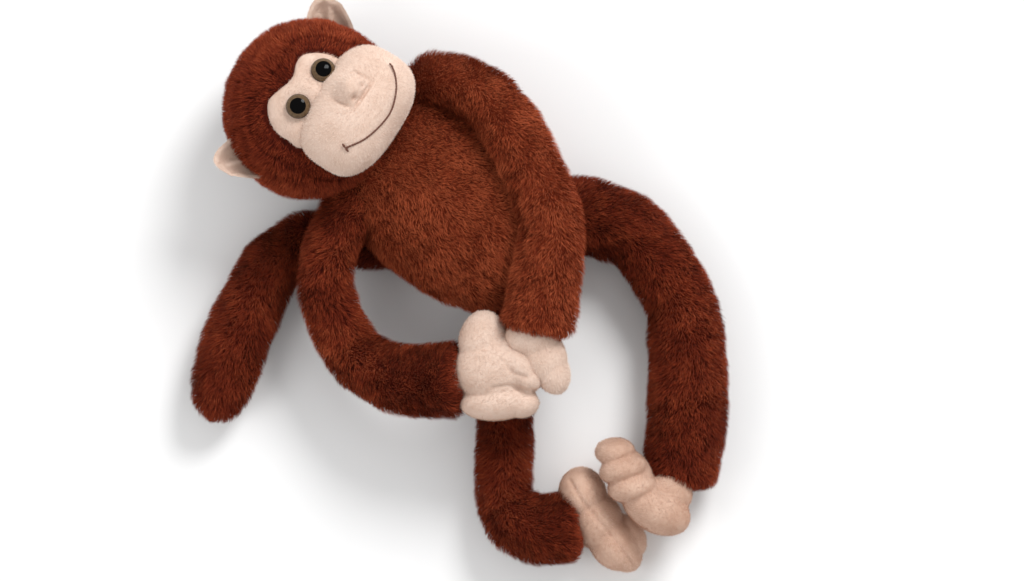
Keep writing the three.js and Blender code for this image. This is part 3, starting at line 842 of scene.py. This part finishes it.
def sculpt(name, eggs, body, material, pile, nap, seams=()):
    """Eggs melted into one skin. Each egg is its middle, its half sizes and its turn about +Z in degrees."""
    points, faces = [], []
    for (cx, cy, cz), (hx, hy, hz), turn in eggs:
        surface = round_surface(lambda d: d * np.array([hx, hy, hz]), rings=22, sides=32)
        c, s = math.cos(math.radians(turn)), math.sin(math.radians(turn))
        spin = np.array([[c, s, 0], [-s, c, 0], [0, 0, 1]])
        first = len(points)
        points += (surface.points @ spin + np.array([cx, cy, cz])).tolist()
        faces += [tuple(first + v for v in face) for face in surface.faces]
    piece = mesh_object(name, np.array(points) * MM, faces, [material])
    remesh = piece.modifiers.new("melt", "REMESH")
    remesh.mode = "VOXEL"
    remesh.voxel_size = MELT_VOXEL * MM
    soften = piece.modifiers.new("soften", "SMOOTH")
    soften.factor = 0.5
    soften.iterations = MELT_SMOOTHING
    depsgraph = bpy.context.evaluated_depsgraph_get()
    melted = bpy.data.meshes.new_from_object(piece.evaluated_get(depsgraph))
    piece.modifiers.clear()
    piece.data = melted
    for line in seams:
        groove(melted, line)
    melted.polygons.foreach_set("use_smooth", np.full(len(melted.polygons), True))
    hairs = short_pile(f"{body}_pile", MeshSurface(melted, nap), pile, seed=84)
    for part in (piece, hairs):
        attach(part, body)
    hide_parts(f"{body}_skin", f"{body}_stuffing")


def make_hands_and_feet():
    sculpt("right_hand_plush", [
        ((2, -110, 67), (18, 12.5, 12.5), 0),
        ((17.5, -88, 72), (15, 19, 15), -8),
        ((24, -104, 73), (25, 21, 17), 15),
        ((40, -103, 75), (12, 16, 15), 28),
        ((46, -111, 76), (8.5, 9, 12), 0),
        ((27, -125, 71), (24, 12, 14.5), 5),
        ((42, -127, 71), (10.5, 8.5, 12), 10),
    ], "right_hand", cream_material, cream_pile, (1, 0, 0),
        seams=[[(24, -117), (33, -115.5), (42, -117.5), (50, -119)], [(30, -100), (36, -107), (44, -110)]])
    sculpt("left_hand_plush", [
        ((48, -86, 78), (17, 13, 15), 0),
        ((54, -97, 76), (15, 18, 14), 30),
        ((60, -106, 74), (11, 15.5, 13), 22),
    ], "left_hand", cream_material, cream_pile, (0.4, -1, 0))
    # The feet use the darker cream, which is painted shade.
    sculpt("left_foot_plush", [
        ((126, -193, 40), (23, 15, 18), -30),
        ((134, -184, 36), (15, 14, 15), 0),
        ((111, -180, 44), (15.5, 9.5, 16), 8),
        ((105, -168.5, 45), (15, 8.8, 15), 14),
        ((100, -157.5, 43), (12.5, 8.6, 14), 4),
        ((112, -171, 38), (11, 17, 14), 35),
    ], "left_foot", shaded_cream_material, shaded_cream_pile, (-0.7, 0.7, 0))
    sculpt("right_foot_plush", [
        ((80, -185, 22), (15, 17, 19), 10),
        ((88, -201, 21), (17, 20, 18), 30),
        ((100, -216, 20), (15, 19, 17), 35),
        ((107, -223, 18), (10.5, 12, 14), 30),
        ((111, -211, 17), (8, 14, 12), 28),
    ], "right_foot", shaded_cream_material, shaded_cream_pile, (0.6, -0.8, 0),
        seams=[[(72, -176), (80, -189), (94, -205), (104, -218), (112, -230)]])


# ---------------------------------------------------------------- the toy

make_camera()
make_light()
make_floor()
make_torso()
for limb_name, limb in LIMBS.items():
    make_limb(limb_name, **limb)
make_head()
make_face_patch()
make_muzzle()
make_mouth()
for eye_side in ("right", "left"):
    make_eye(eye_side)
    make_ear(eye_side)
make_hands_and_feet()
